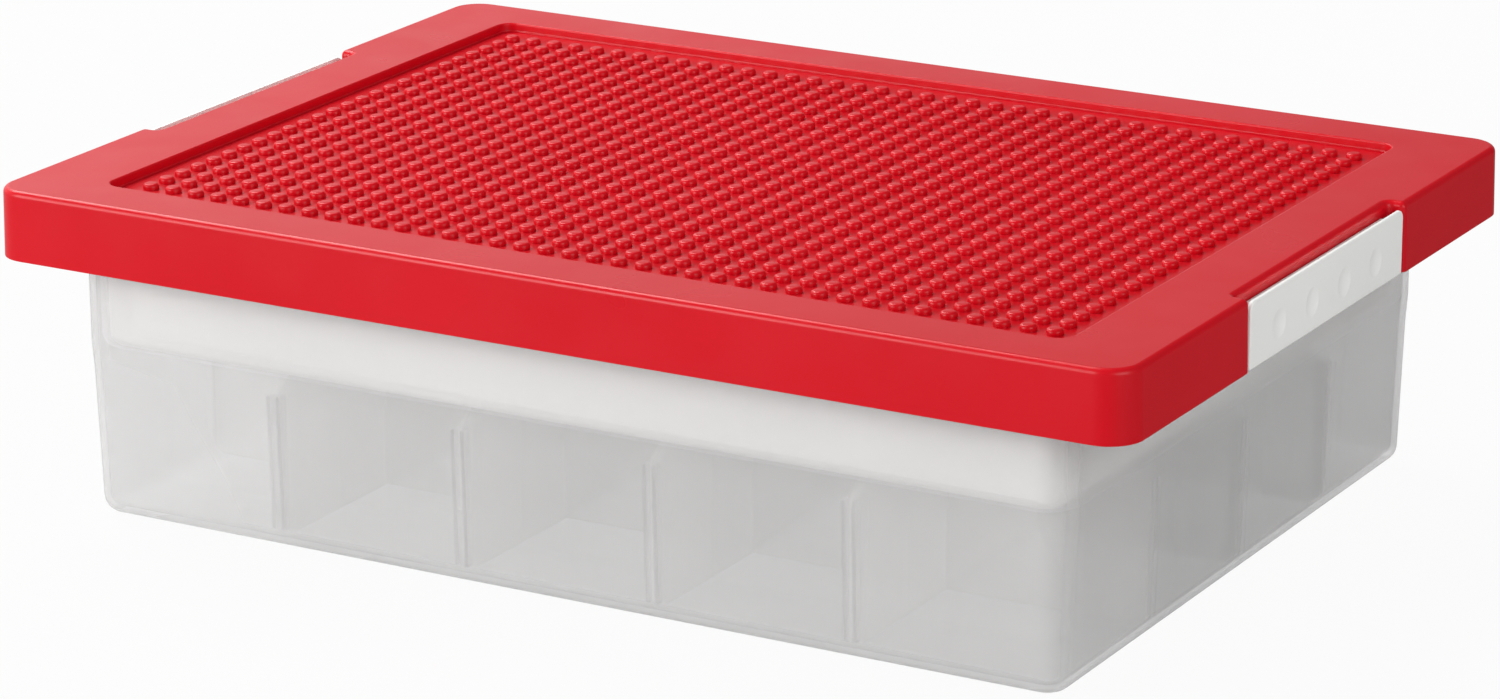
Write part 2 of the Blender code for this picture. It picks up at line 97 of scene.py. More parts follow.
# Tub
TUB_END_INSET = 0.0228
TUB_SIDE_INSET = 0.0109
TUB_CORNER_RADIUS = 0.0090
TUB_WALL = 0.0018
TUB_FLOOR = 0.0020
TUB_DRAFT = 0.0014
TUB_BASE_RADIUS = 0.0050
TUB_STEP = 0.0006
TUB_STEP_START = 0.0444
TUB_STEP_HEIGHT = 0.0090
RIM_SHOULDER = 0.0025
RIM_HEIGHT = 0.0051
FLANGE_DROP = 0.0121
FLANGE_SHEET = 0.0020
FLANGE_GAP = 0.0007
GUIDE_WALL = 0.0010
GUIDE_DEPTH = 0.0022
GUIDE_DROP = 0.0050

# Dividers
COLUMNS = 5
ROWS = 4
DIVIDER_SHEET = 0.0016
DIVIDER_CHAMFER_ACROSS = 0.0060
DIVIDER_CHAMFER_DOWN = 0.0045
DIVIDER_SLOT_SHARE = 0.5

# Tray
TRAY_INSET = 0.0042
TRAY_CORNER_RADIUS = 0.0070
TRAY_BASE_RADIUS = 0.0035
TRAY_WALL = 0.0016
TRAY_RIM = 0.0015

# Latches
LATCH_SHEET = 0.0023
LATCH_CORNER_RADIUS = 0.0026
LATCH_FOOT_RADIUS = 0.0008
LATCH_EDGE_RADIUS = 0.0005
LATCH_TOP_SHEET = 0.0011
LATCH_TAPER_HEIGHT = 0.0035
DISH_WIDTH = 0.0095
DISH_DEPTH = 0.0006
DISH_PITCH = 0.0222
DISH_COUNT = 4
DISH_RISE = 0.0085
DISH_RINGS = 60
HINGE_INSET = 0.0080
HINGE_RISE = 0.0025
BARREL_RADIUS = 0.0022
WEB_SHEET = 0.0016
HOOK_HEIGHT = 0.0018
HOOK_TIP_GAP = 0.0004
PIN_RADIUS = 0.0016
PIN_GAP = 0.0003
EAR_SHEET = 0.0034
EAR_RADIUS = 0.0034
EAR_INSET = 0.0026

# Roundings and smoothness
ROUND_PROFILE = 0.5
SMALL_EDGE = 0.0003
SMALL_STEPS = 2
CORNER_STEPS = 12
FILLET_STEPS = 6
EDGE_STEPS = 3
ROUND_SIDES = 32
SHARP_ANGLE = radians(30)
CRISP_ANGLE = radians(60)
TOLERANCE = 0.00002

# Finishes: noise scales are in cycles a metre
NOISE_LOW = 0.2
NOISE_HIGH = 0.8
FLOW_SCALE = 14
FLOW_DETAIL = 1
SHEEN_SCALE = 45
SHEEN_DETAIL = 1
PLASTIC_IOR = 1.49
RED = ((0.590, 0.0020, 0.0100), (0.560, 0.0015, 0.0085))
RED_ROUGHNESS = (0.27, 0.34)
RED_SPECULAR = 0.27
WHITE = ((0.92, 0.92, 0.90), (0.88, 0.88, 0.86))
WHITE_ROUGHNESS = (0.36, 0.44)
FROST = ((0.97, 0.965, 0.96), (0.95, 0.945, 0.94))
FROST_ROUGHNESS = (0.10, 0.16)
TUB_ALPHA = 0.50
TUB_TRANSMISSION = 0.50
DIVIDER_ALPHA = 0.35
MILK = ((0.97, 0.96, 0.95), (0.95, 0.94, 0.93))
MILK_ROUGHNESS = (0.34, 0.42)
MILK_ALPHA = 0.85

# Camera at the photograph's angle
CAMERA_PLACE = (0.755359, -1.332417, 0.527399)
CAMERA_TURN = (radians(72.431), radians(0.226), radians(29.569))
CAMERA_LENS = 128.894
SENSOR_WIDTH = 36

# Studio
FLOOR_SIZE = 8
FLOOR_GAP = 0.0003
FLOOR_COLOUR = (0.45, 0.45, 0.45)
FLOOR_ROUGHNESS = 0.9
FLOOR_GLOW_SHARE = 0.95
FLOOR_BRIGHT_X = 0.0
FLOOR_DIM_X = 0.25
FLOOR_BRIGHT_LIGHT = 0.45
FLOOR_DIM_LIGHT = 0.10
WORLD_LIGHT = 0.40
BACKDROP_FADE = (1.0, 0.0, 0.9)
BACKDROP_BRIGHT_END = -0.39
BACKDROP_DARK_END = 0.15
BACKDROP_STOPS = ((0.0, 1.0), (0.42, 0.31), (0.50, 0.31), (1.0, 0.05))
KEY_PLACE = (-1.0, -1.55, 0.65)
KEY_POWER = 28
FILL_PLACE = (1.6, -0.7, 0.6)
FILL_POWER = 13
TOP_PLACE = (-1.2, 0.5, 1.6)
TOP_POWER = 32
LAMP_SIZE = 1.1

# Places that follow
BOX_HEIGHT = LID_HIGH.z
SKIRT_BOTTOM = LID_LOW.z
SHEET_UNDERSIDE = BOX_HEIGHT - LID_SHEET
RECESS_TOP = BOX_HEIGHT - RECESS_DEPTH
RECESS_UNDERSIDE = RECESS_TOP - RECESS_FLOOR
RIM_TOP = SHEET_UNDERSIDE - FIT_GAP
SHOULDER_TOP = RIM_TOP - RIM_HEIGHT
FLANGE_TOP = BOX_HEIGHT - FLANGE_DROP
FLANGE_BOTTOM = FLANGE_TOP - FLANGE_SHEET
TRAY_RIM_BOTTOM = SHOULDER_TOP + FIT_GAP
TRAY_RIM_TOP = TRAY_RIM_BOTTOM + TRAY_RIM
UPPER_INNER = TUB_STEP - TUB_WALL
RIM_OUTER = TUB_STEP + RIM_SHOULDER
RIM_INNER = RIM_OUTER - TUB_WALL
BASE_INNER = -TUB_DRAFT - TUB_WALL
TUB_FILLET = TUB_BASE_RADIUS - TUB_WALL
END_FACE = LID_HIGH.x - SKIRT_FLARE
NOTCH_FACE = END_FACE - NOTCH_DEPTH
HINGE_X = END_FACE - HINGE_INSET
HINGE_Z = SKIRT_BOTTOM + HINGE_RISE
EAR_OUTSIDE = LATCH_HALF - EAR_INSET
EAR_INSIDE = EAR_OUTSIDE - EAR_SHEET
BARREL_HALF = EAR_INSIDE - RUNNING_GAP
CATCH_TOP = BOX_HEIGHT - CATCH_DROP
DISH_BALL = (DISH_WIDTH ** 2 / 4 + DISH_DEPTH ** 2) / (2 * DISH_DEPTH)

# Outlines in plan: half length, half width and corner radius
LID_OUTLINE = (END_FACE, LID_HIGH.y - SKIRT_FLARE, LID_CORNER_RADIUS)
RECESS_OUTLINE = (LID_OUTLINE[0] - RECESS_END_MARGIN, LID_OUTLINE[1] - RECESS_SIDE_MARGIN,
                  RECESS_CORNER_RADIUS)
TUB_OUTLINE = (LID_OUTLINE[0] - TUB_END_INSET, LID_OUTLINE[1] - TUB_SIDE_INSET, TUB_CORNER_RADIUS)
TRAY_OUTLINE = (TUB_OUTLINE[0] - TRAY_INSET, TUB_OUTLINE[1] - TRAY_INSET, TRAY_CORNER_RADIUS)


def add_shell(mesh, loops):
    """A closed skin through a stack of round-cornered loops.

    Each loop is an outline in plan, a distance outward from it, and a height. The first
    loop's panel stays as one cap, and is extruded from loop to loop up to the other cap.
    """
    levels = [([size + outward for size in outline], z) for outline, outward, z in loops]
    outline, z = levels[0]
    place = Matrix.Translation((0, 0, z)) @ Matrix.Diagonal((outline[0], outline[1], 1, 1))
    corners = bmesh.ops.create_grid(mesh, x_segments=1, y_segments=1, size=1, matrix=place)["verts"]
    bmesh.ops.bevel(mesh, geom=corners, offset=outline[2], offset_type="OFFSET",
                    segments=CORNER_STEPS, profile=ROUND_PROFILE, affect="VERTICES", material=-1)
    panel = first_panel = list(mesh.faces)
    for next_outline, z in levels[1:]:
        grown = bmesh.ops.extrude_face_region(mesh, geom=panel)["geom"]
        if panel != first_panel:
            bmesh.ops.delete(mesh, geom=panel, context="FACES_ONLY")
        panel = [item for item in grown if isinstance(item, bmesh.types.BMFace)]
        for corner in panel[0].verts:
            corner.co = moved_to_outline(corner.co, outline, next_outline, z)
        outline = next_outline
    bmesh.ops.recalc_face_normals(mesh, faces=mesh.faces)


def moved_to_outline(place, old, new, z):
    """The point of a new outline that matches a point of an old one."""
    moved = []
    for value, old_half, new_half in zip(place.xy, old, new):
        lean = (abs(value) - old_half + old[2]) / old[2]
        moved.append(copysign(new_half - new[2] + new[2] * lean, value))
    return Vector((*moved, z))


def add_block(mesh, low, high):
    """A rectangular block between two opposite corners."""
    low, high = Vector(low), Vector(high)
    place = Matrix.Translation((low + high) / 2) @ Matrix.Diagonal((*(high - low), 1))
    bmesh.ops.create_cube(mesh, size=1, matrix=place)


def add_bar(mesh, x, z, radius, low_y, high_y):
    """A round bar along Y."""
    place = Matrix.Translation((x, (low_y + high_y) / 2, z)) @ Matrix.Rotation(pi / 2, 4, "X")
    bmesh.ops.create_cone(mesh, cap_ends=True, segments=ROUND_SIDES, radius1=radius,
                          radius2=radius, depth=high_y - low_y, matrix=place)


def add_slab(mesh, corners, sweep):
    """A flat slab: the polygon of its corners, extruded by a vector."""
    panel = mesh.faces.new([mesh.verts.new(corner) for corner in corners])
    grown = bmesh.ops.extrude_face_region(mesh, geom=[panel])["geom"]
    moved = [item for item in grown if isinstance(item, bmesh.types.BMVert)]
    bmesh.ops.translate(mesh, vec=sweep, verts=moved)
    bmesh.ops.recalc_face_normals(mesh, faces=mesh.faces)


def new_object(name, mesh):
    """Put a bmesh into the scene under a name."""
    data = bpy.data.meshes.new(name)
    mesh.to_mesh(data)
    mesh.free()
    piece = bpy.data.objects.new(name, data)
    bpy.context.scene.collection.objects.link(piece)
    return piece


def combine(mesh, tool, operation):
    """Join a closed tool to a mesh, or cut it away, and return the result."""
    body = new_object("body", mesh)
    helper = new_object("helper", tool)
    modifier = body.modifiers.new("combine", "BOOLEAN")
    modifier.operation = operation
    modifier.solver = "EXACT"
    modifier.object = helper
    evaluated = body.evaluated_get(bpy.context.evaluated_depsgraph_get())
    result = bmesh.new()
    result.from_mesh(evaluated.to_mesh())
    for used in (body, helper):
        data = used.data
        bpy.data.objects.remove(used)
        bpy.data.meshes.remove(data)
    return result


def absorb(mesh, other):
    """Move all of another mesh into a mesh."""
    data = bpy.data.meshes.new("absorbed")
    other.to_mesh(data)
    other.free()
    mesh.from_mesh(data)
    bpy.data.meshes.remove(data)


def round_edges(mesh, radius, steps, chosen, axis=None):
    """Round the sharp edges whose two ends pass a test of their place, on one axis if given."""
    edges = [edge for edge in mesh.edges
             if len(edge.link_faces) == 2 and edge.calc_face_angle() > SHARP_ANGLE
             and all(chosen(corner.co) for corner in edge.verts)
             and (axis is None or runs_along(edge, axis))]
    bmesh.ops.bevel(mesh, geom=edges, offset=radius, offset_type="OFFSET", segments=steps,
                    profile=ROUND_PROFILE, affect="EDGES", clamp_overlap=True, material=-1)


def runs_along(edge, axis):
    """Whether an edge lies along an axis, wherever it starts."""
    span = edge.verts[1].co - edge.verts[0].co
    span[axis] = 0
    return span.length < TOLERANCE


def same(value, other):
    """Whether two measures are alike."""
    return abs(value - other) < TOLERANCE


def at_level(z):
    """A test that a place lies at height z."""
    return lambda place: same(place.z, z)


def finish_piece(name, mesh, material, body, slot, *nodes):
    """Make a shaded piece that rides on a body and stands for CAD nodes."""
    for face in mesh.faces:
        face.smooth = True
    for edge in mesh.edges:
        edge.smooth = edge.calc_face_angle() < CRISP_ANGLE
    piece = new_object(name, mesh)
    piece.data.materials.append(material)
    piece.modifiers.new("flat faces stay flat", "WEIGHTED_NORMAL").keep_sharp = True
    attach(piece, body)
    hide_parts(*nodes)


def divider_places(kind, count, axis):
    """Middles of the frame's dividers of a kind, along an axis."""
    boxes = [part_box(f"{kind}_divider_{number}") for number in range(1, count)]
    return [(low[axis] + high[axis]) / 2 for low, high in boxes]


def catch_height(x):
    """Top of the lid's catch rib, which falls away outward."""
    return CATCH_TOP - tan(CATCH_SLOPE) * (x - NOTCH_FACE)


def build_stud_field():
    """The studded middle of the recess floor, welded from equal squares."""
    field = bmesh.new()
    half = STUD_PITCH / 2
    first_x = -(STUDS_ALONG - 1) * half
    first_y = -(STUDS_ACROSS - 1) * half
    centre = Matrix.Translation((first_x, first_y, RECESS_TOP))
    foot = bmesh.ops.create_circle(field, segments=STUD_SIDES, radius=STUD_WIDTH / 2,
                                   matrix=centre)["verts"]
    circle_edges = list(field.edges)
    bmesh.ops.create_grid(field, x_segments=1, y_segments=1, size=half, matrix=centre)
    bmesh.ops.delete(field, geom=list(field.faces), context="FACES_ONLY")
    bmesh.ops.triangle_fill(field, use_beauty=True, edges=list(field.edges), normal=(0, 0, 1))
    inside = [face for face in field.faces if all(corner in foot for corner in face.verts)]
    bmesh.ops.delete(field, geom=inside, context="FACES_ONLY")
    cap = bmesh.ops.contextual_create(field, geom=circle_edges)["faces"]
    wall = bmesh.ops.extrude_face_region(field, geom=cap)["geom"]
    bmesh.ops.delete(field, geom=cap, context="FACES_ONLY")
    top = [item for item in wall if isinstance(item, bmesh.types.BMVert)]
    bmesh.ops.translate(field, vec=(0, 0, STUD_HEIGHT), verts=top)
    rim = [edge for edge in field.edges if all(corner in top for corner in edge.verts)]
    bmesh.ops.bevel(field, geom=rim, offset=STUD_EDGE, offset_type="OFFSET",
                    segments=STUD_EDGE_STEPS, profile=ROUND_PROFILE, affect="EDGES", material=-1)
    repeat(field, STUDS_ALONG, (STUD_PITCH, 0, 0))
    repeat(field, STUDS_ACROSS, (0, STUD_PITCH, 0))
    bmesh.ops.remove_doubles(field, verts=field.verts, dist=TOLERANCE)
    bmesh.ops.recalc_face_normals(field, faces=field.faces)
    return field


def repeat(mesh, count, step):
    """Lay copies of the whole mesh beside it, count in all."""
    original = list(mesh.verts) + list(mesh.edges) + list(mesh.faces)
    for number in range(1, count):
        copied = bmesh.ops.duplicate(mesh, geom=original)["geom"]
        moved = [item for item in copied if isinstance(item, bmesh.types.BMVert)]
        bmesh.ops.translate(mesh, vec=Vector(step) * number, verts=moved)


def build_lid(material):
    """Rolled top, skirt, notches with their catch ribs, and the studded recess."""
    lip = RIM_INNER - FIT_GAP
    lip_bottom = TRAY_RIM_TOP + FIT_GAP
    mesh = bmesh.new()
    add_shell(mesh, (
        (RECESS_OUTLINE, 0, RECESS_TOP),
        (RECESS_OUTLINE, 0, BOX_HEIGHT),
        (LID_OUTLINE, 0, BOX_HEIGHT),
        (LID_OUTLINE, SKIRT_FLARE, SKIRT_BOTTOM),
        (LID_OUTLINE, SKIRT_FLARE - SKIRT_WALL, SKIRT_BOTTOM),
        (LID_OUTLINE, -SKIRT_WALL, SHEET_UNDERSIDE),
        (TUB_OUTLINE, lip, SHEET_UNDERSIDE),
        (TUB_OUTLINE, lip, lip_bottom),
        (TUB_OUTLINE, lip - LIP_WALL, lip_bottom),
        (TUB_OUTLINE, lip - LIP_WALL, SHEET_UNDERSIDE),
        (RECESS_OUTLINE, RECESS_FLOOR, SHEET_UNDERSIDE),
        (RECESS_OUTLINE, RECESS_FLOOR, RECESS_UNDERSIDE),
    ))
    housings, pockets, ribs = bmesh.new(), bmesh.new(), bmesh.new()
    half = NOTCH_WIDTH / 2
    wall_bottom = FLANGE_TOP + RUNNING_GAP
    wall_top = SHEET_UNDERSIDE + LID_SHEET / 2
    root = NOTCH_FACE - NOTCH_WALL / 2
    tip = NOTCH_FACE + CATCH_REACH
    for side in (-1, 1):
        add_block(housings, (side * (NOTCH_FACE - NOTCH_WALL), -half - NOTCH_WALL, wall_bottom),
                  (side * (END_FACE - SKIRT_WALL / 2), half + NOTCH_WALL, wall_top))
        add_block(pockets, (side * NOTCH_FACE, -half, SKIRT_BOTTOM - OVERRUN),
                  (side * (END_FACE + OVERRUN), half, BOX_HEIGHT + OVERRUN))
        outline = ((root, CATCH_TOP - CATCH_HEIGHT), (tip, catch_height(tip) - CATCH_HEIGHT / 2),
                   (tip, catch_height(tip)), (root, catch_height(root)))
        corners = [(side * x, -CATCH_WIDTH / 2, z) for x, z in outline]
        add_slab(ribs, corners, (0, CATCH_WIDTH, 0))
    for tool in (housings, pockets):
        bmesh.ops.recalc_face_normals(tool, faces=tool.faces)
    round_edges(pockets, NOTCH_CORNER_RADIUS, FILLET_STEPS,
                lambda place: same(abs(place.x), NOTCH_FACE), Z)
    mesh = combine(mesh, housings, "UNION")
    mesh = combine(mesh, pockets, "DIFFERENCE")

    def within_recess(place):
        return (abs(place.x) < RECESS_OUTLINE[0] + TOLERANCE
                and abs(place.y) < RECESS_OUTLINE[1] + TOLERANCE)

    def on_rolled_edge(place):
        on_top = same(place.z, BOX_HEIGHT) and not within_recess(place)
        notch_corner = same(abs(place.y), half) and abs(place.x) > END_FACE - TOLERANCE
        return on_top or notch_corner

    def on_recess_edge(place):
        return within_recess(place) and place.z > RECESS_TOP - TOLERANCE

    round_edges(mesh, LID_EDGE_RADIUS, FILLET_STEPS, on_rolled_edge)
    round_edges(mesh, RECESS_EDGE_RADIUS, EDGE_STEPS, on_recess_edge)
    round_edges(mesh, SMALL_EDGE, SMALL_STEPS, at_level(SKIRT_BOTTOM))
    mesh = combine(mesh, ribs, "UNION")

    level_faces = [face for face in mesh.faces if same(face.calc_center_median().z, RECESS_TOP)]
    plain_floor = max(level_faces, key=lambda face: face.calc_area())
    around = list(plain_floor.edges)
    bmesh.ops.delete(mesh, geom=[plain_floor], context="FACES_ONLY")
    known = set(mesh.edges)
    absorb(mesh, build_stud_field())
    border = [edge for edge in mesh.edges if edge not in known and edge.is_boundary]
    bmesh.ops.triangle_fill(mesh, use_beauty=True, edges=around + border, normal=(0, 0, 1))
    bmesh.ops.recalc_face_normals(mesh, faces=mesh.faces)
    finish_piece("studded_lid", mesh, material, "lid", "lid", "lid")


def build_tub(material):
    """Drafted walls with a soft step, rim and flange, guides for the dividers, hinge ears."""
    step_end = TUB_STEP_START + TUB_STEP_HEIGHT
    mesh = bmesh.new()
    add_shell(mesh, (
        (TUB_OUTLINE, -TUB_DRAFT, 0),
        (TUB_OUTLINE, 0, TUB_STEP_START),
        (TUB_OUTLINE, TUB_STEP, step_end),
        (TUB_OUTLINE, TUB_STEP, FLANGE_BOTTOM),
        (LID_OUTLINE, -SKIRT_WALL - FLANGE_GAP, FLANGE_BOTTOM),
        (LID_OUTLINE, -SKIRT_WALL - FLANGE_GAP, FLANGE_TOP),
        (TUB_OUTLINE, RIM_OUTER, FLANGE_TOP),
        (TUB_OUTLINE, RIM_OUTER, RIM_TOP),
        (TUB_OUTLINE, RIM_INNER, RIM_TOP),
        (TUB_OUTLINE, RIM_INNER, SHOULDER_TOP),
        (TUB_OUTLINE, UPPER_INNER, SHOULDER_TOP),
        (TUB_OUTLINE, UPPER_INNER, step_end),
        (TUB_OUTLINE, -TUB_WALL, TUB_STEP_START),
        (TUB_OUTLINE, BASE_INNER, TUB_FLOOR),
    ))
    round_edges(mesh, TUB_BASE_RADIUS, FILLET_STEPS, at_level(0))
    round_edges(mesh, TUB_FILLET, FILLET_STEPS, at_level(TUB_FLOOR))
    for level in (FLANGE_TOP, FLANGE_BOTTOM, RIM_TOP):
        round_edges(mesh, SMALL_EDGE, SMALL_STEPS, at_level(level))
    guides, ears, bores = bmesh.new(), bmesh.new(), bmesh.new()
    reach_x = TUB_OUTLINE[0] + BASE_INNER
    reach_y = TUB_OUTLINE[1] + BASE_INNER
    root = TUB_WALL / 2 + TUB_DRAFT / 2
    near = DIVIDER_SHEET / 2 + FIT_GAP
    far = near + GUIDE_WALL
    guide_top = DIVIDER_TOP - GUIDE_DROP
    wall_x = TUB_OUTLINE[0] + TUB_STEP - TUB_WALL / 2
    ear_top = FLANGE_BOTTOM + FLANGE_SHEET / 2
    for side in (-1, 1):
        for flank in (-1, 1):
            for x in divider_places("cross", COLUMNS, X):
                add_block(guides, (x + flank * near, side * (reach_y - GUIDE_DEPTH), TUB_BASE_RADIUS),
                          (x + flank * far, side * (reach_y + root), guide_top))
            for y in divider_places("long", ROWS, Y):
                add_block(guides, (side * (reach_x - GUIDE_DEPTH), y + flank * near, TUB_BASE_RADIUS),
                          (side * (reach_x + root), y + flank * far, guide_top))
            low_y, high_y = sorted((flank * EAR_INSIDE, flank * EAR_OUTSIDE))
            ear = bmesh.new()
            add_bar(ear, side * HINGE_X, HINGE_Z, EAR_RADIUS, low_y, high_y)
            plate = bmesh.new()
            corners = ((wall_x, low_y, ear_top), (wall_x, low_y, HINGE_Z),
                       (HINGE_X, low_y, HINGE_Z - EAR_RADIUS), (HINGE_X + EAR_RADIUS, low_y, HINGE_Z),
                       (HINGE_X + EAR_RADIUS, low_y, ear_top))
            add_slab(plate, [(side * x, y, z) for x, y, z in corners], (0, EAR_SHEET, 0))
            absorb(ears, combine(plate, ear, "UNION"))
        add_bar(bores, side * HINGE_X, HINGE_Z, PIN_RADIUS + PIN_GAP, -LATCH_HALF, LATCH_HALF)
    for tool in (guides, ears, bores):
        bmesh.ops.recalc_face_normals(tool, faces=tool.faces)
    mesh = combine(mesh, guides, "UNION")
    mesh = combine(mesh, ears, "UNION")
    mesh = combine(mesh, bores, "DIFFERENCE")
    finish_piece("frosted_tub", mesh, material, "tub", "tub", "tub")


def build_tray(material):
    """A plain shell that hangs by its rim."""
    rim = RIM_INNER - RUNNING_GAP
    mesh = bmesh.new()
    add_shell(mesh, (
        (TRAY_OUTLINE, 0, TRAY_BOTTOM),
        (TRAY_OUTLINE, 0, TRAY_RIM_BOTTOM),
        (TUB_OUTLINE, rim, TRAY_RIM_BOTTOM),
        (TUB_OUTLINE, rim, TRAY_RIM_TOP),
        (TRAY_OUTLINE, -TRAY_WALL, TRAY_RIM_TOP),
        (TRAY_OUTLINE, -TRAY_WALL, TRAY_BOTTOM + TRAY_WALL),
    ))
    round_edges(mesh, TRAY_BASE_RADIUS, FILLET_STEPS, at_level(TRAY_BOTTOM))
    round_edges(mesh, TRAY_BASE_RADIUS - TRAY_WALL, FILLET_STEPS, at_level(TRAY_BOTTOM + TRAY_WALL))
    round_edges(mesh, SMALL_EDGE, SMALL_STEPS, at_level(TRAY_RIM_TOP))
    finish_piece("milky_tray", mesh, material, "tray", "tray", "inner_tray")


def build_divider(name, node, material, crosswise):
    """A plate with clipped corners and the half-depth slots of an egg-crate joint."""
    low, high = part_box(node)
    half_span = high.y if crosswise else high.x
    slots = divider_places("long", ROWS, Y) if crosswise else divider_places("cross", COLUMNS, X)
    slot_half = DIVIDER_SHEET / 2 + FIT_GAP
    slot_end = low.z + (high.z - low.z) * DIVIDER_SLOT_SHARE
    slot_end += FIT_GAP / 2 if crosswise else -FIT_GAP / 2
    lower = [(-half_span, low.z + TUB_FILLET), (-half_span + TUB_FILLET, low.z)]
    upper = [(half_span, high.z - DIVIDER_CHAMFER_DOWN),
             (half_span - DIVIDER_CHAMFER_ACROSS, high.z)]
    cuts = []
    edge = low.z if crosswise else high.z
    for place in slots:
        cuts += [(place - slot_half, edge), (place - slot_half, slot_end),
                 (place + slot_half, slot_end), (place + slot_half, edge)]
    if crosswise:
        lower += cuts
    else:
        upper += reversed(cuts)
    lower += [(half_span - TUB_FILLET, low.z), (half_span, low.z + TUB_FILLET)]
    upper += [(-half_span + DIVIDER_CHAMFER_ACROSS, high.z),
              (-half_span, high.z - DIVIDER_CHAMFER_DOWN)]
    mesh = bmesh.new()
    if crosswise:
        corners = [(low.x, along, z) for along, z in lower + upper]
        add_slab(mesh, corners, (DIVIDER_SHEET, 0, 0))
    else:
        corners = [(along, low.y, z) for along, z in lower + upper]
        add_slab(mesh, corners, (0, DIVIDER_SHEET, 0))
    round_edges(mesh, SMALL_EDGE, SMALL_STEPS, lambda place: True)
    finish_piece(name, mesh, material, "divider_grid", "divider", node)


def build_latch(name, node, side, material):
    """A flat face with four shallow dishes, hook, web, hinge barrel and pins."""
    latch_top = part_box(node)[1].z
    inner_face = END_FACE - LATCH_SHEET
    mesh = bmesh.new()
    add_block(mesh, (inner_face, -LATCH_HALF, SKIRT_BOTTOM), (END_FACE, LATCH_HALF, latch_top))
    round_edges(mesh, LATCH_CORNER_RADIUS, FILLET_STEPS, at_level(latch_top), X)
    round_edges(mesh, LATCH_FOOT_RADIUS, FILLET_STEPS, at_level(SKIRT_BOTTOM), X)
    taper = LATCH_SHEET - LATCH_TOP_SHEET
    bmesh.ops.bisect_plane(mesh, geom=list(mesh.verts) + list(mesh.edges) + list(mesh.faces),
                           plane_co=(inner_face + taper, 0, latch_top),
                           plane_no=(-LATCH_TAPER_HEIGHT, 0, taper), clear_outer=True)
    bmesh.ops.contextual_create(mesh, geom=[edge for edge in mesh.edges if edge.is_boundary])
    bmesh.ops.recalc_face_normals(mesh, faces=mesh.faces)
    round_edges(mesh, LATCH_EDGE_RADIUS, EDGE_STEPS, lambda place: same(place.x, END_FACE))
    middle = Vector((END_FACE - DISH_DEPTH + DISH_BALL, 0, SKIRT_BOTTOM + DISH_RISE))
    for number in range(DISH_COUNT):
        middle.y = (number - (DISH_COUNT - 1) / 2) * DISH_PITCH
        ball = bmesh.new()
        bmesh.ops.create_uvsphere(ball, u_segments=ROUND_SIDES, v_segments=DISH_RINGS, radius=DISH_BALL,
                                  matrix=Matrix.Translation(middle) @ Matrix.Rotation(pi / 2, 4, "Y"))
        mesh = combine(mesh, ball, "DIFFERENCE")

    tip_x = NOTCH_FACE + HOOK_TIP_GAP
    root_x = inner_face + LATCH_SHEET / 2
    tip_low, root_low = [catch_height(x) + FIT_GAP for x in (tip_x, root_x)]
    hook_top = tip_low + HOOK_HEIGHT
    hook = bmesh.new()
    corners = ((tip_x, tip_low), (root_x, root_low), (root_x, hook_top), (tip_x, hook_top))
    add_slab(hook, [(x, -CATCH_WIDTH / 2, z) for x, z in corners], (0, CATCH_WIDTH, 0))
    web_low = SKIRT_BOTTOM + LATCH_FOOT_RADIUS / 2
    web = bmesh.new()
    add_block(web, (HINGE_X, -BARREL_HALF, web_low), (root_x, BARREL_HALF, web_low + WEB_SHEET))
    barrel = bmesh.new()
    barrel_end = BARREL_HALF + FIT_GAP / 2
    add_bar(barrel, HINGE_X, HINGE_Z, BARREL_RADIUS, -barrel_end, barrel_end)
    pins = bmesh.new()
    add_bar(pins, HINGE_X, HINGE_Z, PIN_RADIUS, -EAR_OUTSIDE, EAR_OUTSIDE)
    for tool in (hook, web, barrel, pins):
        bmesh.ops.recalc_face_normals(tool, faces=tool.faces)
        mesh = combine(mesh, tool, "UNION")
    if side < 0:
        bmesh.ops.rotate(mesh, matrix=Matrix.Rotation(pi, 3, "Z"), verts=mesh.verts)
    finish_piece(name, mesh, material, node, "latch", node)


def add_node(tree, kind, inputs=(), **settings):
    """A node with its settings; an input takes a number, a colour or another node's output."""
    node = tree.nodes.new(kind)
    for setting, value in settings.items():
        setattr(node, setting, value)
    for name, value in dict(inputs).items():
        if isinstance(value, bpy.types.NodeSocket):
            tree.links.new(value, node.inputs[name])
        else:
            node.inputs[name].default_value = value
    return node


def new_material(name):
    """A node material with its shader."""
    material = bpy.data.materials.new(name)
    material.use_nodes = True
    return material, material.node_tree, material.node_tree.nodes["Principled BSDF"]


def soft_noise(tree, scale, detail, low, high):
    """Noise between two values, on Object coordinates so that it stays with the piece."""
    place = add_node(tree, "ShaderNodeTexCoord")
    noise = add_node(tree, "ShaderNodeTexNoise", {
        "Vector": place.outputs["Object"], "Scale": scale, "Detail": detail})
    mapped = add_node(tree, "ShaderNodeMapRange", {
        "Value": noise.outputs["Fac"], "From Min": NOISE_LOW, "From Max": NOISE_HIGH,
        "To Min": low, "To Max": high}, interpolation_type="SMOOTHSTEP")
    return mapped.outputs["Result"]


